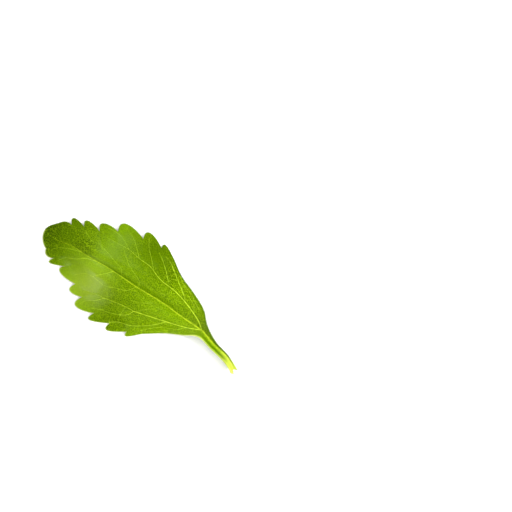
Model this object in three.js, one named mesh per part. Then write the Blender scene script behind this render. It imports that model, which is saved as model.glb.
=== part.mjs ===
// A fresh stevia leaf, picked with its stalk and lying face up on three low points of its underside.
// Millimetres. x runs from the torn end of the stalk to the tip, y to the leaf's left, z up.
import * as THREE from "three";

// ---- Driving dimensions ----

const BLADE_THICKNESS = 0.7; // measured straight up, so that a sloping blade stays over 0.6
const RIM_BAND = 1.1; // strip along the margin that carries the teeth
const STALK_ROWS = 12; // rows across the stalk, before the three nerves part
const ROWS = 69; // rows across the whole leaf, from the torn end to the tip
const FAN_ROWS = 9; // the last rows, which fan out round the tip

// The midrib as seen from above, and where the rows cross it. The rows lean forward as the veins do,
// and the last ones fan out from the end of the midrib round the rounded tip.
const MIDRIB_LINE = [
  [0.6, -0.1], [3.3, -1.3], [7.3, -2.0], [11.7, -3.1], [16, -3.2], [28, -2.7], [50.2, -1.7],
];
const ROW_STATIONS = [[0, 0.6], [STALK_ROWS, 11.2], [24, 17], [64, 43.6], [ROWS, 45.5]];

// A side nerve leaves the midrib at the foot of the blade and fades before the teeth at the tip.
const NERVE_FADE = [[11, 0], [14, 1], [30, 0.8], [40, 0]];

// Each margin: a smooth line with a point every 4 rows, then a list of teeth. A tooth is one cubic curve,
// [back of the tooth, shoulder, next notch, rows], from the notch behind it to the notch before it.
// The last curve of each side is that side of the tip. Then the side nerve, and the height of the
// underside at the margin, which comes down to the ground at x = 27 and stays close to it up to the tip.
const LEFT = {
  smooth: [[0.75, 0.95], [3.65, -0.65], [7.5, -1.1], [11, -1.8], [14, 0.1], [17.35, 2.0], [21, 4.8]],
  teeth: [
    [[22.4, 6.2], [23.8, 8.35], [24.0, 6.3], 5],
    [[25.7, 7.5], [28.75, 9.95], [27.95, 7.0], 5],
    [[29.9, 8.0], [33.3, 9.9], [31.8, 7.0], 5],
    [[34.4, 8.2], [37.4, 8.4], [35.8, 5.6], 5],
    [[37.5, 6.1], [39.9, 6.5], [38.5, 4.05], 5],
    [[41.2, 4.5], [44.3, 3.9], [42.4, 2.4], 5],
    [[43.9, 3.2], [46.8, 4.6], [45.2, 2.15], 5],
    [[45.9, 2.8], [47.3, 3.0], [47.65, 1.5], 5],
    [[48.75, 1.35], [50.25, 0.1], [50.25, -1.65], 5],
  ],
  nerve: [[11.7, -3.1], [14, -1.7], [18.2, -0.3], [25.1, 1.8], [33.5, 3.4], [40, 3.6]],
  height: [[0, 1.7], [5, 1.8], [11.5, 2.3], [18, 0.9], [27, 0.1], [34, 0.5], [42, 0.4], [46, 0.3], [50.2, 0]],
};
const RIGHT = {
  smooth: [
    [0.45, -0.5], [3.5, -1.95], [7.3, -2.7], [10.7, -4.5],
    [13.3, -6.85], [16.95, -8.45], [21, -9.85], [24.3, -11.8],
  ],
  teeth: [
    [[26.35, -12.9], [28.5, -14.25], [27.95, -12.3], 5],
    [[30.0, -13.5], [33.3, -14.45], [32.1, -11.55], 6],
    [[34.8, -12.7], [38.9, -12.9], [37.35, -9.85], 7],
    [[39.2, -10.4], [42.75, -9.8], [40.45, -7.65], 5],
    [[42.2, -8.4], [45.4, -8.75], [43.8, -6.75], 5],
    [[45.4, -7.3], [48.0, -7.6], [46.2, -5.6], 4],
    [[47.0, -5.8], [47.9, -5.55], [48.45, -4.6], 4],
    [[48.75, -4.1], [50.2, -2.9], [50.25, -1.65], 5],
  ],
  nerve: [[11.7, -3.2], [14.4, -4.9], [20.7, -6.6], [27.4, -7.8], [36.2, -7.9], [41, -7.2]],
  height: [[0, 1.6], [5, 1.7], [11.5, 2.2], [18, 0.9], [27, 0.1], [35, 0.4], [42, 0.4], [46, 0.3], [50.2, 0]],
};

// Heights of the underside along the leaf, as [x, height]: the crest of each half, and how far the
// midrib lies below it. The blade arches lengthwise, and its tip bends down to the ground.
const CREST = [
  [0, 1.5], [5, 1.7], [11.5, 2.3], [18, 2.7], [27, 3.0],
  [35, 3.15], [39, 2.95], [43, 2.0], [47, 0.9], [50.2, 0],
];
const VALLEY_DEPTH = [[0, 0.4], [5, 0.5], [11.5, 0.9], [18, 0.9], [27, 0.9], [35, 0.8], [42, 0.5], [50.2, 0]];
const VALLEY_WIDTH = 1.5;
const TOOTH_REACH = 1.2; // the blade levels out at the tips of the teeth, this far out for a half of width 1
const KEEL_DEPTH = [[0, 0.5], [5, 0.6], [11.5, 0.7], [18, 0.5], [30, 0.3], [42, 0.15], [50.2, 0]];
const KEEL_WIDTH = 0.6; // the midrib stands out below by the keel's depth
const NERVE_DEPTH = 0.25;
const NERVE_WIDTH = 0.5;
const GROOVE_DEPTH = 0.12; // and the veins are sunk a little into the upper face

// The low points under the two margins, flat at height 0. The third low point is the edge of the tip.
const FEET = [[27, 7.5], [27, -12.6]];
const FOOT_FLAT = 1.2; // radius that is quite flat
const FOOT_BLEND = 3.4; // radius where the blade's own curve is back

// The stalk was torn off its stem, so its end runs out in two ragged points, told as
// [place across the stalk from -1 on the right to 1 on the left, how far it is torn back].
const TEAR = [[-1, 0.1], [-0.4, -0.35], [0.3, 0.9], [1, 0]];
const TEAR_ROWS = 3;

// Columns of the mesh across each half: from the midrib to the side nerve, from the nerve to the rim band,
// and across the band.
const TO_NERVE = [0, 0.1, 0.25, 0.55, 0.82, 1];
const TO_BAND = [0.15, 0.4, 0.7, 1];
const OVER_BAND = [0.5, 1];
const COLUMNS = TO_NERVE.length + TO_BAND.length + OVER_BAND.length - 1;

// ---- Lines ----

const vector = ([x, y]) => new THREE.Vector2(x, y);

// A smooth function through [where, value] pairs.
function profile(pairs) {
  const places = pairs.map(([place]) => place);
  const values = pairs.map(([, value]) => value);
  const curve = new THREE.CubicInterpolant(places, values, 1);
  return (where) => curve.evaluate(where)[0];
}

const bell = (distance, width) => Math.exp(-((distance / width) ** 2));

const midribAcross = profile(MIDRIB_LINE);
const rowStation = profile(ROW_STATIONS);
const crest = profile(CREST);
const valleyDepth = profile(VALLEY_DEPTH);
const keelDepth = profile(KEEL_DEPTH);
const nerveFade = profile(NERVE_FADE);
const tear = profile(TEAR);

// One side of the leaf: its margin at a row, the plain line under its teeth, and its side nerve.
function side({ smooth, teeth, nerve, height }) {
  const foot = new THREE.SplineCurve(smooth.map(vector));
  const footRows = (smooth.length - 1) * 4;
  let notch = vector(smooth.at(-1));
  let firstRow = footRows;
  const lobes = teeth.map(([back, shoulder, next, rows]) => {
    const curve = new THREE.CubicBezierCurve(notch, vector(back), vector(shoulder), vector(next));
    const lobe = { curve, firstRow, rows };
    notch = vector(next);
    firstRow += rows;
    return lobe;
  });
  const lobeAt = (row) => lobes.find((lobe) => row <= lobe.firstRow + lobe.rows);

  return {
    nerveAcross: profile(nerve),
    marginHeight: profile(height),
    margin(row) {
      if (row <= footRows) return foot.getPoint(row / footRows);
      const { curve, firstRow: first, rows } = lobeAt(row);
      return curve.getPoint((row - first) / rows);
    },
    base(row) {
      if (row <= footRows) return foot.getPoint(row / footRows);
      const { curve, firstRow: first, rows } = lobeAt(row);
      if (curve === lobes.at(-1).curve) return curve.getPoint((row - first) / rows);
      return curve.v0.clone().lerp(curve.v3, (row - first) / rows);
    },
  };
}

// ---- The blade and the stalk as one sheet ----

const midrib = (row) => {
  const x = rowStation(row);
  return new THREE.Vector2(x, midribAcross(x));
};

// Where a row crosses the side nerve, as a share of the row. Each try uses the place found before it.
// Round the tip, where the nerve has ended, it turns into the middle of the row.
function nerveShare(half, from, to, row) {
  let share = 0.5;
  for (let i = 0; i < 6; i++) {
    const x = from.x + (to.x - from.x) * share;
    share = (half.nerveAcross(x) - from.y) / (to.y - from.y);
    share = THREE.MathUtils.clamp(share, 0.3, 0.65);
  }
  return THREE.MathUtils.lerp(share, 0.5, THREE.MathUtils.smoothstep(row, ROWS - FAN_ROWS, ROWS));
}

// The places along one row of a half, from the midrib out, each with its share of the half's width.
// The share is 1 on the plain line under the teeth, and more on the teeth.
function rowPlaces(half, row) {
  const from = midrib(row);
  const across = half.base(row).sub(from);
  const width = across.length();
  const inner = from.clone().addScaledVector(across, 1 - Math.min(RIM_BAND / width, 0.3));
  const nerve = nerveShare(half, from, inner, row);
  const shares = [...TO_NERVE.map((s) => s * nerve), ...TO_BAND.map((s) => nerve + s * (1 - nerve))];
  const places = [
    ...shares.map((s) => from.clone().lerp(inner, s)),
    ...OVER_BAND.map((s) => inner.clone().lerp(half.margin(row), s)),
  ];
  return places.map((at) => ({ at, share: at.clone().sub(from).dot(across) / width ** 2 }));
}

// Height of the underside without its veins or feet.
function sheetHeight(half, at, share) {
  const top = crest(at.x);
  const valley = valleyDepth(at.x) * bell(at.y - midribAcross(at.x), VALLEY_WIDTH);
  const outward = Math.min(1, share / TOOTH_REACH);
  const fall = ((top - half.marginHeight(at.x)) * (1 - Math.cos(Math.PI * outward))) / 2;
  return top - valley - fall;
}

// What is left of the height near a foot: none on the foot itself, and all of it away from the feet.
const lift = (at) =>
  FEET.reduce(
    (left, foot) => left * THREE.MathUtils.smoothstep(at.distanceTo(vector(foot)), FOOT_FLAT, FOOT_BLEND),
    1,
  );

// The lower and the upper point of the leaf at one place.
function throughLeaf(half, { at, share }, row, sign) {
  const torn = at.clone();
  torn.x += tear(sign * share) * Math.max(0, 1 - row / TEAR_ROWS) ** 2;
  const sheet = sheetHeight(half, torn, share);
  const fromMidrib = torn.y - midribAcross(torn.x);
  const nerve = nerveFade(torn.x) * bell(torn.y - half.nerveAcross(torn.x), NERVE_WIDTH);
  const ribs = keelDepth(torn.x) * bell(fromMidrib, KEEL_WIDTH) + NERVE_DEPTH * nerve;
  const groove = GROOVE_DEPTH * Math.min(1, bell(fromMidrib, NERVE_WIDTH) + nerve);
  return [
    new THREE.Vector3(torn.x, torn.y, (sheet - ribs) * lift(torn)),
    new THREE.Vector3(torn.x, torn.y, sheet * lift(torn) + BLADE_THICKNESS - groove),
  ];
}

// The sheet as a closed mesh. Both faces are split into triangles alike. The two halves share the
// midrib's points, and past its end they share those of the last row, which runs on to the tip.
function leafGeometry() {
  const halves = [
    { half: side(LEFT), sign: 1 },
    { half: side(RIGHT), sign: -1 },
  ];
  const points = [];
  const shared = new Map();
  const ids = halves.map(({ half, sign }, h) =>
    Array.from({ length: ROWS + 1 }, (_, row) =>
      rowPlaces(half, row).map((place, column) => {
        const seam = column === 0 || row === ROWS;
        const key = seam ? `${row} ${column}` : `${row} ${column} ${h}`;
        if (!shared.has(key)) {
          shared.set(key, points.length);
          points.push(...throughLeaf(half, place, row, sign));
        }
        return shared.get(key);
      }),
    ),
  );

  const faces = [];
  // A quad of both faces: a, b, c and d run round it anticlockwise as seen from above.
  const quad = (a, b, c, d) => {
    faces.push(a + 1, b + 1, c + 1, a + 1, c + 1, d + 1);
    faces.push(a, c, b, a, d, c);
  };
  // A wall under an edge whose outside is on the right as one goes from a to b.
  const wall = (a, b) => faces.push(a, b, b + 1, a, b + 1, a + 1);
  for (let row = 0; row < ROWS; row++) {
    for (let column = 0; column < COLUMNS; column++) {
      const [l, r] = ids;
      quad(l[row][column], l[row + 1][column], l[row + 1][column + 1], l[row][column + 1]);
      quad(r[row][column], r[row][column + 1], r[row + 1][column + 1], r[row + 1][column]);
    }
    wall(ids[0][row + 1][COLUMNS], ids[0][row][COLUMNS]);
    wall(ids[1][row][COLUMNS], ids[1][row + 1][COLUMNS]);
  }
  for (let column = 0; column < COLUMNS; column++) {
    wall(ids[0][0][column + 1], ids[0][0][column]);
    wall(ids[1][0][column], ids[1][0][column + 1]);
  }

  const geometry = new THREE.BufferGeometry().setFromPoints(points);
  geometry.setIndex(faces);
  geometry.computeVertexNormals();
  return geometry;
}

// ---- The part ----

// The leaf is centred on the origin as seen from above, and its low points lie at height 0.
function leaf() {
  const geometry = leafGeometry();
  geometry.computeBoundingBox();
  const middle = geometry.boundingBox.getCenter(new THREE.Vector3());
  const green = new THREE.MeshStandardMaterial({ color: 0x6f9a10, roughness: 0.45, metalness: 0 });
  const mesh = new THREE.Mesh(geometry, green);
  mesh.name = "stevia_leaf";
  mesh.position.set(-middle.x, -middle.y, 0);
  return mesh;
}

const part = new THREE.Group();
part.add(leaf());

export default part;
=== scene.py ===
"""A fresh stevia leaf, torn from its stem with its stalk, lying face up on white paper.

Lengths are in millimetres in the leaf's own frame, x from the torn end of the stalk to the tip, y to the
leaf's left and z up. They are turned into metres and moved to the frame's place when a mesh is finished.
"""

import math
import random

import bmesh
import bpy
import numpy as np
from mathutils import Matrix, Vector, kdtree


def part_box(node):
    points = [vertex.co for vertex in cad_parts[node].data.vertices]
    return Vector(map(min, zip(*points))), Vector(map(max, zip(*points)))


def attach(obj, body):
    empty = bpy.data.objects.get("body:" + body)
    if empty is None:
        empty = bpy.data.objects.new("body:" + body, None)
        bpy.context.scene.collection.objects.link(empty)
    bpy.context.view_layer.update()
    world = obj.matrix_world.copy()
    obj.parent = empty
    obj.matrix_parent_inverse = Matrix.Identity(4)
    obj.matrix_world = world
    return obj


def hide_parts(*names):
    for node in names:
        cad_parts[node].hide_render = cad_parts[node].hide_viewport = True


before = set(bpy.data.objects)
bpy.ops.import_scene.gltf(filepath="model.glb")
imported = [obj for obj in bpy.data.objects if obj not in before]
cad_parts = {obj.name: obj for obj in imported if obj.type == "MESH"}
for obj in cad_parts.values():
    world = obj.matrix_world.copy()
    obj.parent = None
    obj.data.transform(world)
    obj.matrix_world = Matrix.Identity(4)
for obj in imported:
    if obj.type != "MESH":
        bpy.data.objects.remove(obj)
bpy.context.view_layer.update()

# ---- Leaf: outline ----
# The leaf grew as one thin sheet of soft green tissue: a toothed blade with three main veins, on a
# channelled stalk that was torn from the stem. It lies loose on its two sagging margins and its tip.

# Rows cross the leaf from margin to margin, leaning forward as the veins do, and past the end of the
# midrib they fan out round the tip. A station is the x at which a row leaves the midrib.
ROWS = 69
FAN_ROWS = 9
MIDRIB_LINE = ((0.6, -0.1), (3.3, -1.3), (7.3, -2.0), (11.7, -3.1), (16, -3.2), (28, -2.7), (50.2, -1.7))
ROW_STATIONS = ((0, 0.6), (12, 11.2), (24, 17), (64, 43.6), (ROWS, 45.5))

# Each margin is a smooth line with a point every few rows, and then a list of teeth. A tooth is one cubic
# curve, (back of the tooth, shoulder, next notch, rows), and the last one is that side of the tip. Each
# half also has the line of its side nerve, and the height of its margin along x.
POINT_ROWS = 4
LEFT = {
    "smooth": ((0.75, 0.95), (3.65, -0.15), (7.4, -0.8), (11, -1.4), (13.9, 0.2), (17.3, 2.1), (21, 4.85)),
    "teeth": (
        ((22.4, 6.2), (24.1, 8.5), (24.0, 6.35), 5),
        ((25.7, 7.6), (28.85, 10.05), (27.95, 7.0), 5),
        ((29.9, 8.05), (33.65, 10.3), (31.8, 7.05), 5),
        ((34.5, 8.4), (37.75, 8.8), (35.8, 5.7), 5),
        ((37.5, 6.4), (40.1, 6.7), (38.5, 4.2), 5),
        ((41.15, 4.7), (44.55, 4.1), (42.4, 2.4), 5),
        ((43.9, 3.2), (47.1, 4.8), (45.2, 2.2), 5),
        ((45.9, 3.0), (47.55, 3.1), (47.8, 1.6), 5),
        ((48.75, 1.35), (50.25, 0.1), (50.25, -1.65), 5),
    ),
    "nerve": ((11.7, -3.1), (14, -1.7), (18.2, -0.3), (25.1, 1.8), (33.5, 3.4), (40, 3.6)),
    "height": ((0, 1.7), (5, 1.8), (11.5, 2.3), (18, 0.9), (27, 0.1), (34, 0.22), (46, 0.2), (50.2, 0)),
}
RIGHT = {
    "smooth": (
        (0.45, -0.5), (3.5, -1.8), (7.3, -2.7), (10.7, -4.5), (13.3, -6.85), (16.95, -8.45), (21, -9.85),
        (24.3, -11.8),
    ),
    "teeth": (
        ((26.35, -12.9), (28.5, -14.25), (27.95, -12.3), 5),
        ((30.0, -13.55), (33.45, -14.65), (32.15, -11.7), 6),
        ((34.8, -12.75), (39.15, -13.05), (37.35, -9.95), 7),
        ((39.2, -10.4), (42.95, -9.9), (40.45, -7.75), 5),
        ((42.2, -8.45), (45.6, -8.9), (43.8, -6.75), 5),
        ((45.4, -7.3), (48.0, -7.6), (46.2, -5.6), 4),
        ((47.0, -5.8), (47.9, -5.55), (48.45, -4.6), 4),
        ((48.75, -4.1), (50.2, -2.9), (50.25, -1.65), 5),
    ),
    "nerve": ((11.7, -3.2), (14.4, -4.9), (20.7, -6.6), (27.4, -7.8), (36.2, -7.9), (41, -7.2)),
    "height": ((0, 1.6), (5, 1.7), (11.5, 2.2), (18, 0.9), (27, 0.1), (35, 0.2), (46, 0.2), (50.2, 0)),
}


def profile(pairs):
    """A smooth function through (where, value) pairs, level past its ends."""
    places, values = np.array(pairs, float).T
    steps = np.diff(places)
    slopes = np.diff(values) / steps
    tangents = np.concatenate([slopes[:1], (slopes[1:] + slopes[:-1]) / 2, slopes[-1:]])

    def at(where):
        i = np.clip(np.searchsorted(places, where, side="right") - 1, 0, len(steps) - 1)
        t = np.clip((where - places[i]) / steps[i], 0, 1)
        from_last = values[i] * (1 + 2 * t) * (1 - t) ** 2 + tangents[i] * steps[i] * t * (1 - t) ** 2
        from_next = values[i + 1] * (3 - 2 * t) * t**2 + tangents[i + 1] * steps[i] * (t - 1) * t**2
        return from_last + from_next

    return at


def smooth_step(value, low, high):
    """0 below low, 1 above high, and eased between them."""
    t = np.clip((value - low) / (high - low), 0, 1)
    return t * t * (3 - 2 * t)


def bell(distance, width):
    """1 at no distance, and falling to a third at the width."""
    return np.exp(-((distance / width) ** 2))


def margin_lines(side, row):
    """Where the margin lies at each row, and the plain line under its teeth."""
    smooth = side["smooth"]
    smooth_rows = POINT_ROWS * (len(smooth) - 1)
    knots = range(0, smooth_rows + 1, POINT_ROWS)
    foot = [profile([(knot, point[axis]) for knot, point in zip(knots, smooth)]) for axis in (0, 1)]
    margin = np.stack([foot[0](row), foot[1](row)], axis=1)
    base = margin.copy()
    notch, first = np.array(smooth[-1]), smooth_rows
    for back, shoulder, following, rows in side["teeth"]:
        back, shoulder, following = np.array(back), np.array(shoulder), np.array(following)
        here = (row > first) & (row <= first + rows)
        t = ((row[here] - first) / rows)[:, None]
        margin[here] = (
            (1 - t) ** 3 * notch
            + 3 * (1 - t) ** 2 * t * back
            + 3 * (1 - t) * t**2 * shoulder
            + t**3 * following
        )
        base[here] = margin[here] if first + rows == ROWS else notch + t * (following - notch)
        notch, first = following, first + rows
    return margin, base


# ---- Leaf: flat plan ----
# The upper face starts as one grid. Its columns run along the leaf: from the midrib to the side nerve,
# from there to the band of teeth, and over the band, closer together along the nerves and the margin.

FINE_ROWS = 5  # rows of the mesh to each row of the outline
TO_NERVE, TO_BAND, OVER_BAND = 30, 24, 11  # columns
COLUMNS = TO_NERVE + TO_BAND + OVER_BAND
NERVE_CROWDING, BAND_CROWDING = 0.5, 0.3  # 0 would space the columns evenly
RIM_CROWDING = 1.7  # 1 would
RIM_BAND = 1.1  # strip along the margin that carries the teeth
LARGEST_BAND = 0.3  # and the largest share of a half's width that it takes
NERVE_SHARES = (0.3, 0.65)  # a side nerve runs between these shares of the way to the band
NERVE_TRIES = 6
HALFWAY = 0.5  # where it is sought first, and where it runs in the fan

midrib_across = profile(MIDRIB_LINE)
row_station = profile(ROW_STATIONS)

leaf_bm = bmesh.new()
bmesh.ops.create_grid(leaf_bm, x_segments=2 * COLUMNS, y_segments=FINE_ROWS * ROWS, size=1)
place_layer = leaf_bm.verts.layers.int.new("place")
for number, vert in enumerate(leaf_bm.verts):
    vert[place_layer] = number
grid = np.array([vert.co for vert in leaf_bm.verts])
row = np.round((grid[:, 1] + 1) / 2 * ROWS * FINE_ROWS) / FINE_ROWS
column = np.round(-grid[:, 0] * COLUMNS)
is_left = column >= 0


def crowd(share, strength):
    """Moves evenly spaced shares towards both ends, 0 and 1."""
    return share - strength * np.sin(2 * math.pi * share) / (2 * math.pi)


def half_plan(side, row, column):
    """Places of one half's points, their share of its width, their way to the margin, and its width."""
    station = row_station(row)
    start = np.stack([station, midrib_across(station)], axis=1)
    margin, base = margin_lines(side, row)
    across = base - start
    width = np.linalg.norm(across, axis=1)
    inner = start + across * (1 - np.minimum(RIM_BAND / width, LARGEST_BAND))[:, None]
    reach = inner - start
    nerve_across = profile(side["nerve"])
    nerve_share = np.full(len(row), HALFWAY)
    for _ in range(NERVE_TRIES):  # each uses the place found before it
        found = (nerve_across(start[:, 0] + reach[:, 0] * nerve_share) - start[:, 1]) / reach[:, 1]
        nerve_share = np.clip(found, *NERVE_SHARES)
    fan = smooth_step(row, ROWS - FAN_ROWS, ROWS)
    nerve_share += (HALFWAY - nerve_share) * fan
    to_nerve = crowd(np.clip(column / TO_NERVE, 0, 1), NERVE_CROWDING)
    to_band = crowd(np.clip((column - TO_NERVE) / TO_BAND, 0, 1), BAND_CROWDING)
    over_band = 1 - (1 - np.clip((column - TO_NERVE - TO_BAND) / OVER_BAND, 0, 1)) ** RIM_CROWDING
    along = to_nerve * nerve_share + to_band * (1 - nerve_share)
    plan = start + reach * along[:, None]
    plan += (margin - inner) * over_band[:, None]
    share = np.sum((plan - start) * across, axis=1) / width**2
    return plan, share, np.linalg.norm(margin - plan, axis=1), width


plan = np.zeros((len(row), 2))
share = np.zeros(len(row))
to_margin = np.zeros(len(row))
half_width = np.zeros(len(row))
for side, here in ((LEFT, is_left), (RIGHT, ~is_left)):
    plan[here], share[here], to_margin[here], half_width[here] = half_plan(
        side, row[here], np.abs(column[here])
    )
hand = np.where(is_left, 1, -1)

# The stalk was torn off, so its end runs out in two uneven points, with finer fibres all across. The first
# number is the share of the way from the midrib to a margin, with the right margin at -1.
TEAR = ((-1, 0), (-0.75, -0.3), (-0.2, 0.2), (0.15, 0.35), (0.5, 0.2), (0.85, -0.2), (1, 0.1))
TEAR_ROWS, FIBRE_ROWS = 3, 1.5  # rows that the points and the fibres reach back
FIBRES_ACROSS = 14
FIBRE_LENGTH = 0.2
draw = random.Random(11)
fibre_places = [2 * n / FIBRES_ACROSS - 1 for n in range(FIBRES_ACROSS + 1)]
fibres = profile([(at, draw.uniform(-FIBRE_LENGTH, FIBRE_LENGTH)) for at in fibre_places])
torn_back = np.maximum(0, 1 - row / TEAR_ROWS) ** 2
fibres_back = np.maximum(0, 1 - row / FIBRE_ROWS) ** 2
plan[:, 0] += profile(TEAR)(hand * share) * torn_back + fibres(hand * share) * fibres_back
x, y = plan.T

# ---- Leaf: veins ----
# Three nerves part at the foot of the blade. Branches leave them and curve towards the teeth, and join
# the next branch in loops. Each is a line of points with its half width at the start and at the end.

MIDRIB = (
    (((0.6, -0.1), (3.3, -1.3), (7.3, -2.0), (10.9, -3.0)), 0.6, 0.26),
    (
        (
            (10.9, -3.0), (16.3, -2.95), (20.5, -3.1), (24.7, -2.9), (27.7, -2.7), (31.5, -2.7),
            (35.5, -2.6), (37.2, -2.4), (40.3, -2.2), (43.2, -2.1), (45.1, -1.7), (46.6, -1.3), (48.6, -1.2),
        ),
        0.24,
        0.02,
    ),
)
SIDE_NERVES = (
    (((11.4, -3.2), (12.8, -4.2), (14.4, -4.9), (17.3, -5.9), (20.7, -6.6), (23.5, -6.7)), 0.19, 0.12),
    (
        ((23.5, -6.7), (25.0, -7.0), (27.4, -7.8), (30.4, -7.9), (33.2, -8.2), (36.2, -7.9), (39.2, -7.6)),
        0.09,
        0.02,
    ),
    (((11.2, -3.0), (14.0, -1.7), (18.2, -0.3), (21.5, 0.7), (25.1, 1.8)), 0.16, 0.13),
    (((25.1, 1.8), (26.5, 1.9), (29.1, 2.4), (31.6, 3.0), (33.5, 3.4), (36.6, 4.3)), 0.08, 0.02),
)
BRANCHES = (
    (((22.5, -7.3), (24.7, -9.2), (26.2, -10.3), (27.8, -11.2)), 0.1, 0.05),
    (((25.1, 1.8), (25.7, 3.1), (27.7, 4.4), (29.4, 5.1), (30.9, 5.5), (33.1, 6.6)), 0.11, 0.03),
    (((18.2, -0.3), (20.0, 1.7), (22.8, 4.0), (24.4, 4.9), (26.4, 5.6), (28.2, 6.8)), 0.12, 0.08),
    (((18.5, 1.2), (20.5, 3.1), (22.4, 5.2)), 0.08, 0.05),
    (
        ((27.5, -2.7), (28.6, -1.1), (30.8, -0.1), (33.1, 0.8), (36.1, 0.7), (37.7, 1.0), (39.9, 2.9)),
        0.06,
        0.05,
    ),
    (((33.3, -2.6), (34.5, -1.2), (36.2, 0.6)), 0.1, 0.05),
    (((37.2, -2.4), (39.3, -1.7), (41.2, -0.3), (43.3, 0.9), (44.4, 2.4)), 0.08, 0.03),
    (((41.0, -2.2), (43.4, -1.3), (45.6, -0.1), (46.8, 1.1)), 0.05, 0.03),
    (
        ((31.4, -2.8), (32.1, -4.0), (33.9, -4.5), (37.4, -5.4), (39.4, -5.6), (40.7, -5.3), (43.0, -6.2)),
        0.05,
        0.04,
    ),
    (((27.1, -2.9), (27.7, -4.1), (29.3, -4.8), (31.3, -5.6), (33.2, -6.9), (34.6, -8.0)), 0.05, 0.03),
    (((30.4, -7.9), (32.4, -9.6), (34.0, -10.7), (36.4, -11.6)), 0.06, 0.03),
    (((26.2, -7.3), (28.4, -9.4), (30.0, -10.8), (31.3, -12.7)), 0.06, 0.04),
    (((33.2, -8.2), (35.8, -9.4), (38.0, -9.6), (40.3, -9.2)), 0.05, 0.03),
    (((17.3, -5.9), (18.8, -7.3), (21.0, -8.6), (24.2, -10.6)), 0.08, 0.04),
    (((31.6, 3.0), (33.0, 4.6), (34.8, 6.0), (35.4, 7.2)), 0.08, 0.04),
    (((14.4, -4.9), (15.4, -6.2), (17.6, -7.4)), 0.07, 0.04),
    (((14.0, -1.7), (15.6, -0.2), (18.5, 1.2)), 0.07, 0.05),
    (((17.7, -6.4), (20.0, -7.9), (21.9, -9.2), (24.2, -10.7), (26.3, -11.4)), 0.07, 0.04),
    (((13.8, -6.2), (15.4, -6.9), (17.0, -7.8), (19.4, -8.6), (21.9, -9.9)), 0.06, 0.04),
    (((17.3, -5.9), (18.4, -5.3), (19.7, -5.1)), 0.05, 0.03),
    (((21.2, -6.6), (21.3, -5.2), (22.6, -4.2)), 0.05, 0.03),
    (((21.1, -8.6), (22.3, -8.2), (22.5, -7.3)), 0.05, 0.03),
    (((21.7, -1.1), (23.0, -0.2), (24.7, 1.7)), 0.05, 0.03),
    (((22.9, -1.9), (24.5, -0.7), (26.8, 0.3)), 0.05, 0.03),
    (((16.9, 1.0), (18.7, 2.5), (20.6, 3.9), (22.2, 4.8)), 0.06, 0.04),
    (((31.0, 3.0), (32.0, 1.6), (33.3, 0.9)), 0.05, 0.03),
    (((26.6, 5.6), (27.0, 4.0), (27.0, 2.0)), 0.05, 0.03),
)
VEIN_STEP = 0.02
NERVE_SOFTNESS, BRANCH_SOFTNESS = 0.04, 0.06  # how far a vein's form runs past its half width


def nearest_vein(veins, plan):
    """For each place the way to the nearest vein, its length, and that vein's half width there."""
    points, widths = [], []
    for line, start_width, end_width in veins:
        knots = np.concatenate([[0], np.cumsum(np.linalg.norm(np.diff(line, axis=0), axis=1))])
        along = np.arange(0, knots[-1], VEIN_STEP)
        course = [profile(list(zip(knots, [point[axis] for point in line])))(along) for axis in (0, 1)]
        points.extend(zip(*course))
        widths.extend(start_width + (end_width - start_width) * along / knots[-1])
    tree = kdtree.KDTree(len(points))
    for number, (px, py) in enumerate(points):
        tree.insert((px, py, 0), number)
    tree.balance()
    spots, numbers, gaps = zip(*[tree.find((px, py, 0)) for px, py in plan])
    way_there = np.array([(spot.x, spot.y) for spot in spots]) - plan
    return way_there, np.array(gaps), np.array(widths)[list(numbers)]


midrib_way, midrib_gap, midrib_width = nearest_vein(MIDRIB, plan)
nerve_way, nerve_gap, nerve_width = nearest_vein(SIDE_NERVES, plan)
branch_way, branch_gap, branch_width = nearest_vein(BRANCHES, plan)
rib_gap = np.minimum(midrib_gap, nerve_gap)
nerve = bell(nerve_gap, nerve_width + NERVE_SOFTNESS)
branch = bell(branch_gap, branch_width + BRANCH_SOFTNESS)

# Between the branches the small veins close up in cells, longer across the leaf than along it. Each cell
# is the land nearest to one seed, and its border is where two seeds are equally far.
CELL_ROWS = 2.1  # length of a cell along the leaf, in rows
CELL_ACROSS = 2.3
CELL_SHIFT = 0.42  # how far a seed lies off the middle of its cell at most, in cells
CELL_MEAN = 1.5  # millimetres to a cell, where its two lengths aren't told apart
BORDER_WIDTH = 0.13
WIDEST_HALF = 12
BLADE_START, BLADE_FULL = 12.5, 17
cell_places = np.stack([row / CELL_ROWS, hand * share * half_width / CELL_ACROSS], axis=1)
cell_draw = random.Random(5)
cells_along = int(ROWS / CELL_ROWS) + 4
cells_across = int(WIDEST_HALF / CELL_ACROSS) + 2
cell_tree = kdtree.KDTree(cells_along * (2 * cells_across + 1))
for i in range(cells_along):
    for j in range(-cells_across, cells_across + 1):
        seed_row = i - 1 + cell_draw.uniform(-CELL_SHIFT, CELL_SHIFT)
        seed_across = j + cell_draw.uniform(-CELL_SHIFT, CELL_SHIFT)
        cell_tree.insert((seed_row, seed_across, 0), 0)
cell_tree.balance()


def border_gap(px, py):
    """How far a place is from the border between its two nearest seeds, in cells."""
    (first, _, near), (second, _, far) = cell_tree.find_n((px, py, 0), 2)
    return (far**2 - near**2) / (2 * (second - first).length)


cell_gap = CELL_MEAN * np.array([border_gap(px, py) for px, py in cell_places])
in_blade = smooth_step(x, BLADE_START, BLADE_FULL)
cell_border = bell(cell_gap, BORDER_WIDTH) * in_blade

# ---- Leaf: heights ----
# The fresh blade arches lengthwise between its low points under the margins and at the tip, and its halves
# sag outwards from a crest beside the midrib. The stalk and the foot of the blade form a channel.

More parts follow.
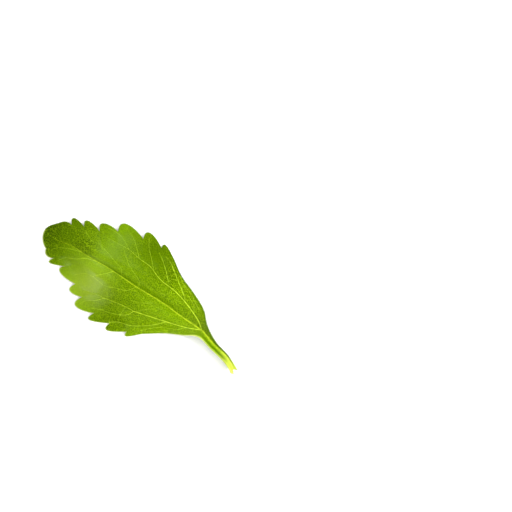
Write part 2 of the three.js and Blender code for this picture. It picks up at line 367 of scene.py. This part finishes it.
CREST = (
    (0, 1.5), (5, 1.7), (11.5, 2.3), (18, 2.7), (27, 3.0), (36, 3.15), (40, 2.8), (43.5, 1.85), (47, 0.8),
    (50.2, 0),
)
VALLEY_DEPTH = ((0, 0.4), (5, 0.5), (11.5, 0.9), (18, 0.9), (27, 0.9), (35, 0.8), (42, 0.5), (50.2, 0))
VALLEY_WIDTH = 1.5
TOOTH_REACH = 1.2
FEET = ((27, 7.5), (27, -12.6))  # middles of the spots on which the margins rest
FOOT_FLAT, FOOT_BLEND = 1.2, 3.4
KEEL_DEPTH = ((0, 0.5), (5, 0.6), (11.5, 0.7), (18, 0.5), (30, 0.3), (42, 0.15), (50.2, 0))
KEEL_WIDTH = 0.6
NERVE_DEPTH, BRANCH_DEPTH, CELL_DEPTH = 0.25, 0.1, 0.03  # how far the veins stand out below
NERVE_GROOVE, BRANCH_GROOVE, CELL_GROOVE = 0.05, 0.015, 0.004  # and are sunk above
MIDRIB_GROOVE = ((0, 0.16), (38, 0.14), (46.5, 0))
MIDRIB_GROOVE_WIDTH = 0.42
SAG_DEPTH, SAG_WIDTH = 0.04, 0.9  # the sheet bulges between the veins
CELL_SAG, CELL_SAG_WIDTH = 0.004, 0.45

THICKNESS = ((0, 0.75), (8, 0.75), (14, 0.42), (20, 0.36), (50.2, 0.32))
RIM_RADIUS = ((0, 0.45), (9, 0.45), (16, 0.22), (50.2, 0.2))
RIM_EDGE = 0.12  # what is left of the thickness at the very edge
TEAR_THINNING = 0.6  # what the torn end loses of it
LOWER_TEAR = 0.5  # how much shorter the lower face is torn off

crest = profile(CREST)(x)
valley = profile(VALLEY_DEPTH)(x) * bell(y - midrib_across(x), VALLEY_WIDTH)
margin_height = np.where(is_left, profile(LEFT["height"])(x), profile(RIGHT["height"])(x))
outward = np.minimum(1, share / TOOTH_REACH)
sheet = crest - valley - (crest - margin_height) * (1 - np.cos(math.pi * outward)) / 2
sag = SAG_DEPTH * np.maximum(bell(rib_gap, SAG_WIDTH), bell(branch_gap, SAG_WIDTH)) * in_blade
sag += CELL_SAG * bell(cell_gap, CELL_SAG_WIDTH) * in_blade
sheet -= sag
lift = np.ones(len(x))
for foot_x, foot_y in FEET:
    lift *= smooth_step(np.hypot(x - foot_x, y - foot_y), FOOT_FLAT, FOOT_BLEND)
sheet = np.maximum(sheet, 0) * lift

keel = profile(KEEL_DEPTH)(x) * bell(y - midrib_across(x), KEEL_WIDTH)
nerve_ridge = NERVE_DEPTH * nerve * in_blade
ridges = np.maximum.reduce([keel, nerve_ridge, BRANCH_DEPTH * branch, CELL_DEPTH * cell_border])
midrib_groove = profile(MIDRIB_GROOVE)(x) * bell(midrib_gap, MIDRIB_GROOVE_WIDTH)
grooves = np.maximum.reduce(
    [midrib_groove, NERVE_GROOVE * nerve, BRANCH_GROOVE * branch, CELL_GROOVE * cell_border]
)

rim = np.clip(to_margin / profile(RIM_RADIUS)(x), 0, 1)
fullness = RIM_EDGE + (1 - RIM_EDGE) * np.sqrt(1 - (1 - rim) ** 2)
thickness = profile(THICKNESS)(x) * (1 - TEAR_THINNING * torn_back)
middle = sheet + thickness / 2
upper = middle + thickness / 2 * fullness - grooves * rim
lower = middle - thickness / 2 * fullness - ridges * lift * rim
lower = np.maximum(lower, 0)

# ---- Leaf: tones and painted shading, kept on the mesh ----
# The tissue is darkest at the tip and in two spots at the margins, and brightest beside the midrib on the
# left half. Much of this is painted shade and light over the tissue's own uneven tone: shade where the tip
# bends down away from the light and where the blade dips to the paper at the margins, light where the left
# half faces the lamps. A tone of 0 is the darkest green and 1 the lightest.

LEFT_TONE_AND_SHADING = (
    (0, 0.6), (4, 0.52), (6.5, 0.72), (9, 0.6), (12, 0.47), (18, 0.54), (24, 0.43), (28, 0.35), (31, 0.36),
    (34, 0.53), (37, 0.65), (40, 0.6), (43, 0.42), (46, 0.21), (50.2, 0),
)
RIGHT_TONE_AND_SHADING = (
    (0, 0.6), (5, 0.4), (10, 0.3), (14, 0.38), (17, 0.46), (21, 0.46), (25, 0.46), (29, 0.48), (34, 0.5),
    (37, 0.56), (41, 0.34), (46, 0.19), (50.2, 0),
)
FINE_NET = ((0, 0.4), (12, 0.35), (16, 0.45), (26, 0.38), (31, 0.28), (36, 0.15), (50.2, 0.2))

# Spots are x, y, radius and what they add in their middle.
# Most tone spots darken the tissue as painted shade, two of them at the margins' feet where the blade dips to
# the paper.
TONE_AND_SHADING_SPOTS = (
    (28, 7.4, 2.4, -0.17), (28.5, -12.6, 3.2, -0.22), (22, -10, 3, -0.26), (31, -9.5, 3.5, -0.11),
    (24, -4, 4, 0.04), (25, -6.8, 2.8, -0.13), (43, -3.5, 2.5, -0.04), (17.5, -7.5, 2.4, -0.15),
    (40, -3, 2.4, -0.17), (27, 3.4, 1.5, 0.06), (36.5, 5, 2.2, -0.12),
)
NET_SPOTS = ((20, -7.5, 3, 0.1), (27.5, -9.5, 4, -0.24), (40.5, -5, 3.5, 0.28))
# The first pale spot is a painted highlight, the wax's sheen on the left half; the second lightens the foot
# of the blade. The pale mark also pales the torn end of the stalk.
PALE_AND_SHEEN_SPOTS = ((36.5, 2.5, 4.5, 0.24), (12, -2.5, 3, 0.06))
STALK_PALE, STALK_GREEN = 1, 7  # the stalk pales from the second to the first
tone_and_shading = np.where(is_left, profile(LEFT_TONE_AND_SHADING)(x), profile(RIGHT_TONE_AND_SHADING)(x))
net = profile(FINE_NET)(x)
pale_and_sheen = 1 - smooth_step(x, STALK_PALE, STALK_GREEN)
for amounts, spots in ((tone_and_shading, TONE_AND_SHADING_SPOTS), (net, NET_SPOTS), (pale_and_sheen, PALE_AND_SHEEN_SPOTS)):
    for spot_x, spot_y, radius, strength in spots:
        amounts += strength * bell(np.hypot(x - spot_x, y - spot_y), radius)

# The left margin has a pale rim, widest on the stalk, with a dark line inside it there. Painted shade darkens
# the right margin's edge from the stalk to the first teeth, where the stalk's wing faces away from the light,
# the midrib's right side, where its groove wall faces away from the light, and the fork where the nerves
# part.
LEFT_RIM = ((0, 0.8), (3.5, 0.75), (8, 0.75), (10.5, 1), (17, 0.7), (24, 0.6), (50, 0.6))
RIGHT_RIM = 0.1
RIM_WIDTH = ((0, 0.55), (3, 0.4), (9, 0.4), (14, 0.3), (50.2, 0.25))
RIM_FULL = 0.3  # share of its width over which the rim is at its palest
INNER_LINE = ((3, 0), (4.5, 0.65), (10, 0.5), (12.5, 0))
INNER_LINE_WAY, INNER_LINE_WIDTH = 0.75, 0.22
# Painted shade along the right margin's edge.
RIGHT_EDGE_SHADE = ((0, 0), (1.5, 0.2), (3.5, 1), (10, 0.8), (14, 0.5), (26, 0.4), (30, 0))
RIGHT_EDGE_SHADE_FULL, RIGHT_EDGE_SHADE_WIDTH = 0.25, 0.6
# Painted shade on the right wall of the midrib's groove.
MIDRIB_SHADOW = ((0, 0), (14, 0), (20, 0.2), (26, 0.35), (36, 0.35), (41, 0))
MIDRIB_SHADOW_WAY, MIDRIB_SHADOW_WIDTH = 0.42, 0.18
# Painted shade in the fork where the nerves part.
FORK = (12.3, -3.55)
FORK_SHADOW, FORK_RADIUS = 0.6, 0.3
rim_line = np.where(is_left, profile(LEFT_RIM)(x), RIGHT_RIM)
edge = rim_line * (1 - smooth_step(to_margin / profile(RIM_WIDTH)(x), RIM_FULL, 1))
inner_line = is_left * profile(INNER_LINE)(x) * bell(to_margin - INNER_LINE_WAY, INNER_LINE_WIDTH)
right_edge_shade = ~is_left * profile(RIGHT_EDGE_SHADE)(x)
right_edge_shade *= 1 - smooth_step(to_margin, RIGHT_EDGE_SHADE_FULL, RIGHT_EDGE_SHADE_WIDTH)
shade_beside_midrib = bell(y - midrib_across(x) + MIDRIB_SHADOW_WAY, MIDRIB_SHADOW_WIDTH)
shade_beside_midrib *= profile(MIDRIB_SHADOW)(x)
fork_shade = FORK_SHADOW * bell(np.hypot(x - FORK[0], y - FORK[1]), FORK_RADIUS)
shadow_line = np.maximum.reduce([inner_line, right_edge_shade, shade_beside_midrib, fork_shade])

# A vein is finer than the mesh. Its line is drawn from the way to it, in half widths of the vein, which
# stays true between two points of the mesh. Where the nearest vein changes, a third length keeps it away.
VEIN_CLEAR = 0.3
KEPT_AWAY = 3
line_places = {}
for name, way_there, gap, width in (
    ("midrib_way", midrib_way, midrib_gap, midrib_width),
    ("nerve_way", nerve_way, nerve_gap, nerve_width),
    ("branch_way", branch_way, branch_gap, branch_width),
):
    away = KEPT_AWAY * np.maximum(0, gap - VEIN_CLEAR)
    line_places[name] = np.column_stack([way_there, away]) / width[:, None]

# The finest veins and streaks run forward from the midrib. Their places are told by how far forward and how
# far across that direction they lie, with a share of y that makes the two halves differ. In the stalk, the
# fibres run lengthwise.
LEAN = ((0, 0), (10, 0), (16, 0.7), (50.2, 0.7))  # radians
LEAN_START = 13
HALVES_DIFFER = 0.3
lean = profile(LEAN)(x)
forward = x - LEAN_START
beside = np.abs(y - midrib_across(x))
line_places["way"] = np.column_stack(
    [
        forward * np.cos(lean) + beside * np.sin(lean),
        beside * np.cos(lean) - forward * np.sin(lean),
        HALVES_DIFFER * y,
    ]
)

# ---- Leaf: mesh ----
# The plan takes the upper face's heights, and its copy the lower face's. Walls along the margin close the
# skin. The two halves aren't welded along the middle of the tip, where their heights differ by up to 0.007
# mm, so walls also stand inside the leaf there.

MM = 0.001
cad_low, cad_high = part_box("stevia_leaf")
shift = (cad_low + cad_high) / 2 / MM - Vector(((x.min() + x.max()) / 2, (y.min() + y.max()) / 2, 0))


def to_frame(px, py, pz):
    """A place of the leaf's own frame in millimetres, as a place of the shared frame in metres."""
    return Vector((px + shift.x, py + shift.y, pz)) * MM


bmesh.ops.extrude_face_region(leaf_bm, geom=leaf_bm.faces[:])
marks = {"shadow": shadow_line, "tone_and_shading": tone_and_shading, "net": net, "pale_and_sheen": pale_and_sheen, "edge": edge}
mark_layers = {name: leaf_bm.verts.layers.float.new(name) for name in marks}
line_layers = {name: leaf_bm.verts.layers.float_vector.new(name) for name in line_places}
under_layer = leaf_bm.verts.layers.float.new("under")
for order, vert in enumerate(leaf_bm.verts):
    place = vert[place_layer]
    is_upper = order < len(plan)
    if is_upper:
        vert.co = to_frame(x[place], y[place], upper[place])
    else:
        vert.co = to_frame(x[place] + LOWER_TEAR * fibres_back[place], y[place], lower[place])
    vert[under_layer] = 0 if is_upper else 1
    for name, layer in mark_layers.items():
        vert[layer] = marks[name][place]
    for name, layer in line_layers.items():
        vert[layer] = line_places[name][place]
bmesh.ops.remove_doubles(leaf_bm, verts=leaf_bm.verts[:], dist=1e-7)
bmesh.ops.recalc_face_normals(leaf_bm, faces=leaf_bm.faces[:])
for face in leaf_bm.faces:
    face.smooth = True

leaf_mesh = bpy.data.meshes.new("leaf")
leaf_bm.to_mesh(leaf_mesh)
leaf_bm.free()
leaf = bpy.data.objects.new("leaf", leaf_mesh)
bpy.context.scene.collection.objects.link(leaf)

# ---- Leaf: tissue ----
# Fresh leaf: green cells under a thin waxy skin, which shines softly and less so where the leaf is dark.
# The veins are paler and yellower than the tissue between them, and the lower face is paler and greyer.


def linear(hex_colour):
    """An sRGB colour such as #7FA00A in Blender's linear values."""
    parts = [int(hex_colour[i : i + 2], 16) / 255 for i in (1, 3, 5)]
    return (*[p / 12.92 if p <= 0.04045 else ((p + 0.055) / 1.055) ** 2.4 for p in parts], 1)


def add_node(tree, kind, inputs=None, **settings):
    """A shader node with its settings. Each input is a value, or the output that it is linked to."""
    node = tree.nodes.new(kind)
    for name, value in settings.items():
        setattr(node, name, value)
    for socket, value in (inputs or {}).items():
        if isinstance(value, bpy.types.NodeSocket):
            tree.links.new(value, node.inputs[socket])
        else:
            node.inputs[socket].default_value = value
    return node


tissue = bpy.data.materials.new("waxy_leaf_tissue")
tissue.use_nodes = True
tree = tissue.node_tree
tree.nodes.clear()
mark = {
    name: add_node(tree, "ShaderNodeAttribute", attribute_name=name).outputs["Fac"]
    for name in (*marks, "under")
}
line_place = {
    name: add_node(tree, "ShaderNodeAttribute", attribute_name=name).outputs["Vector"]
    for name in line_places
}
place = add_node(tree, "ShaderNodeTexCoord").outputs["Object"]

# The net of the finest veins, as the borders of cells.
NET_CELL = 0.42
NET_LINE = 0.12  # half width of its lines, in cells
net_cells = add_node(
    tree,
    "ShaderNodeTexVoronoi",
    {"Vector": line_place["way"], "Scale": 1 / NET_CELL, "Randomness": 1.0},
    feature="DISTANCE_TO_EDGE",
).outputs["Distance"]
net_line = add_node(
    tree,
    "ShaderNodeMapRange",
    {"Value": net_cells, "From Min": 0.0, "From Max": NET_LINE, "To Min": 1.0, "To Max": 0.0},
    interpolation_type="SMOOTHSTEP",
).outputs[0]

# Mottling of the tissue, grain of the skin, and streaks along the finest veins. The skin's real cells are
# about 0.04 mm wide, too fine to show, so its grain is drawn coarser.
MOTTLE_SIZE, GRAIN_SIZE = 0.7, 0.14
STREAK_LENGTH, STREAK_WIDTH = 0.5, 0.17
NOISE_LOW, NOISE_HIGH = 0.3, 0.7  # between these lies nearly all of a noise
mottle = add_node(
    tree, "ShaderNodeTexNoise", {"Vector": place, "Scale": 1 / (MOTTLE_SIZE * MM), "Detail": 1}
).outputs[0]
grain = add_node(
    tree, "ShaderNodeTexNoise", {"Vector": place, "Scale": 1 / (GRAIN_SIZE * MM), "Detail": 0}
).outputs[0]
streak_scale = (1 / STREAK_LENGTH, 1 / STREAK_WIDTH, 1)
streak_place = add_node(
    tree, "ShaderNodeMapping", {"Vector": line_place["way"], "Scale": streak_scale}
).outputs[0]
streak = add_node(tree, "ShaderNodeTexNoise", {"Vector": streak_place, "Scale": 1, "Detail": 1}).outputs[0]
mottled_tone_and_shading = mark["tone_and_shading"]
for noise, strength in ((mottle, 0.05), (grain, 0.4), (streak, 0.25)):
    ends = {"From Min": NOISE_LOW, "From Max": NOISE_HIGH, "To Min": -strength, "To Max": strength}
    spread = add_node(tree, "ShaderNodeMapRange", {"Value": noise, **ends}).outputs[0]
    marked = {0: spread, 1: mark["net"], 2: mottled_tone_and_shading}
    mottled_tone_and_shading = add_node(tree, "ShaderNodeMath", marked, operation="MULTIPLY_ADD").outputs[0]

# The net and the veins fade in the mottling's low patches.
PATCH = {"Value": mottle, "From Min": 0.35, "From Max": 0.6}
NET_SHOWS, VEIN_SHOWS = (0.7, 1.0), (0.5, 1.05)  # least and most
net_shows, vein_shows = [
    add_node(tree, "ShaderNodeMapRange", {**PATCH, "To Min": least, "To Max": most}).outputs[0]
    for least, most in (NET_SHOWS, VEIN_SHOWS)
]
shown_net = add_node(tree, "ShaderNodeMath", {0: net_line, 1: net_shows}, operation="MULTIPLY").outputs[0]
marked_net = add_node(tree, "ShaderNodeMath", {0: shown_net, 1: mark["net"]}, operation="MULTIPLY").outputs[0]

# A vein's colour is full inside its core and gone past its edge, and the tissue beside it is a little darker,
# painted shade where the vein lies sunk in the surface, all in half widths of the vein.
VEIN_CORE, VEIN_EDGE = 0.1, 0.8
FLANK_CORE, FLANK_EDGE, FLANK_SHADE_DEPTH = 1.2, 2.8, 0.25
lines, vein_side_shade = {}, {}
for name in ("midrib_way", "nerve_way", "branch_way"):
    far = add_node(tree, "ShaderNodeVectorMath", {0: line_place[name]}, operation="LENGTH").outputs["Value"]
    ends = {"From Min": VEIN_CORE, "From Max": VEIN_EDGE, "To Min": 1.0, "To Max": 0.0}
    line = add_node(tree, "ShaderNodeMapRange", {"Value": far, **ends}).outputs[0]
    lines[name] = add_node(tree, "ShaderNodeMath", {0: line, 1: vein_shows}, operation="MULTIPLY").outputs[0]
    ends = {"From Min": FLANK_CORE, "From Max": FLANK_EDGE, "To Min": FLANK_SHADE_DEPTH, "To Max": 0.0}
    vein_side_shade[name] = add_node(tree, "ShaderNodeMapRange", {"Value": far, **ends}).outputs[0]

# Each colour is laid over those before it, where its mark is. Several marks carry painted light: the tone
# painted shade and light, the pale mark a painted highlight besides the stalk's pale end, the dark flanks
# painted shade beside the veins, and the shadow mark painted shade.
colour = linear("#263C00")
for where, strength, hex_colour in (
    (mottled_tone_and_shading, 1, "#7CA300"),
    (mark["under"], 0.85, "#687D44"),
    (marked_net, 1.3, "#A4C814"),
    (vein_side_shade["branch_way"], 1, "#486800"),
    (vein_side_shade["nerve_way"], 1, "#486800"),
    (lines["branch_way"], 1, "#B4D42C"),
    (lines["nerve_way"], 1, "#C0DC30"),
    (lines["midrib_way"], 1, "#AABF1A"),
    (mark["pale_and_sheen"], 1, "#BECC46"),
    (mark["shadow"], 1, "#3C5C00"),
    (mark["edge"], 1, "#CCD86C"),
):
    amount = add_node(tree, "ShaderNodeMath", {0: where, 1: strength}, operation="MULTIPLY").outputs[0]
    laid = {0: amount, 6: colour, 7: linear(hex_colour)}
    colour = add_node(tree, "ShaderNodeMix", laid, data_type="RGBA").outputs[2]

NET_RELIEF, NET_RELIEF_SHARE = 0.03, 0.2
DARK_TONE, LIGHT_TONE = 0.34, 0.54  # from the first to the second the wax shines more
DARK_SHINE, LIGHT_SHINE = 0.03, 0.18
net_bump = add_node(
    tree,
    "ShaderNodeBump",
    {"Strength": NET_RELIEF_SHARE, "Distance": NET_RELIEF * MM, "Height": net_cells},
).outputs[0]
ends = {"From Min": DARK_TONE, "From Max": LIGHT_TONE, "To Min": DARK_SHINE, "To Max": LIGHT_SHINE}
shine = add_node(tree, "ShaderNodeMapRange", {"Value": mark["tone_and_shading"], **ends}).outputs[0]
skin = add_node(
    tree,
    "ShaderNodeBsdfPrincipled",
    {
        "Base Color": colour,
        "Roughness": 0.2,
        "IOR": 1.45,
        "Specular IOR Level": shine,
        "Subsurface Weight": 0.15,
        "Subsurface Radius": (0.6, 1.0, 0.2),
        "Subsurface Scale": 0.4 * MM,
        "Normal": net_bump,
    },
)
add_node(tree, "ShaderNodeOutputMaterial", {"Surface": skin.outputs[0]})
leaf_mesh.materials.append(tissue)

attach(leaf, "root")
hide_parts("stevia_leaf")

# ---- Paper ----
# A sheet of plain white paper, matt from its uncoated fibres, and wide enough to run past the view on
# every side. The leaf lies loose on it.

PAPER_SIDE = 3.0  # metres
PAPER_WHITE = (0.93, 0.93, 0.925, 1)
bpy.ops.mesh.primitive_grid_add(size=PAPER_SIDE)
paper = bpy.context.object
paper.name = "paper"
white = bpy.data.materials.new("matt_white_paper")
white.use_nodes = True
finish = white.node_tree.nodes["Principled BSDF"].inputs
finish["Base Color"].default_value = PAPER_WHITE
finish["Roughness"].default_value = 0.9
finish["Specular IOR Level"].default_value = 0.1
paper.data.materials.append(white)

# ---- Light and camera ----
# Broad soft light from above, a low lamp from the stalk's right that throws the stalk's soft shadow, and
# two lamps that only shine in the wax, one on each half. Lamps are placed in metres.

scene = bpy.context.scene
world = bpy.data.worlds.new("studio")
world.use_nodes = True
sky = world.node_tree
sky.nodes.clear()
ray = add_node(sky, "ShaderNodeLightPath").outputs["Is Camera Ray"]
seen = add_node(sky, "ShaderNodeBackground", {"Color": linear("#FFFFFF"), "Strength": 1.0})
glow = add_node(sky, "ShaderNodeBackground", {"Color": linear("#FFFFFF"), "Strength": 0.03})
shown = add_node(sky, "ShaderNodeMixShader", {0: ray, 1: glow.outputs[0], 2: seen.outputs[0]})
add_node(sky, "ShaderNodeOutputWorld", {"Surface": shown.outputs[0]})
scene.world = world
scene.view_settings.view_transform = "Standard"
LAMPS_FACE = Vector((0, 0, 0))


def add_lamp(name, place, size, power, lays_sheen):
    """A soft rectangular lamp that faces the leaf, and either lights it or only shines in its wax."""
    lamp = bpy.data.lights.new(name, "AREA")
    lamp.shape = "RECTANGLE"
    lamp.size, lamp.size_y = size
    lamp.energy = power
    holder = bpy.data.objects.new(name, lamp)
    scene.collection.objects.link(holder)
    holder.location = place
    holder.rotation_euler = (LAMPS_FACE - Vector(place)).to_track_quat("-Z", "Y").to_euler()
    holder.visible_camera = False
    holder.visible_glossy = lays_sheen
    holder.visible_diffuse = not lays_sheen


add_lamp("sky", (0, 0, 2.4), size=(6, 6), power=205, lays_sheen=False)
add_lamp("key", (-0.4, -0.28, 0.36), size=(0.2, 0.2), power=3.0, lays_sheen=False)
add_lamp("left_sheen", (0.2, 0.63, 0.57), size=(0.1, 0.35), power=0.75, lays_sheen=True)
add_lamp("right_sheen", (0.27, -0.6, 0.6), size=(0.25, 0.7), power=1.2, lays_sheen=True)

# The camera looks straight down. The leaf lies to the left of the view's middle, with its tip up left.
VIEW_WIDTH = 106.96
VIEW_MIDDLE = (10.67, -22.19)
LENS, SENSOR = 100, 36
MID_HEIGHT = 1.5
VIEW_TURN = 214.69  # degrees from the leaf's x to the right of the picture
camera = bpy.data.cameras.new("camera")
camera.lens, camera.sensor_width = LENS, SENSOR
viewer = bpy.data.objects.new("camera", camera)
scene.collection.objects.link(viewer)
viewer.location = to_frame(*VIEW_MIDDLE, MID_HEIGHT + VIEW_WIDTH * LENS / SENSOR)
viewer.rotation_euler = (0, 0, math.radians(VIEW_TURN))
scene.camera = viewer
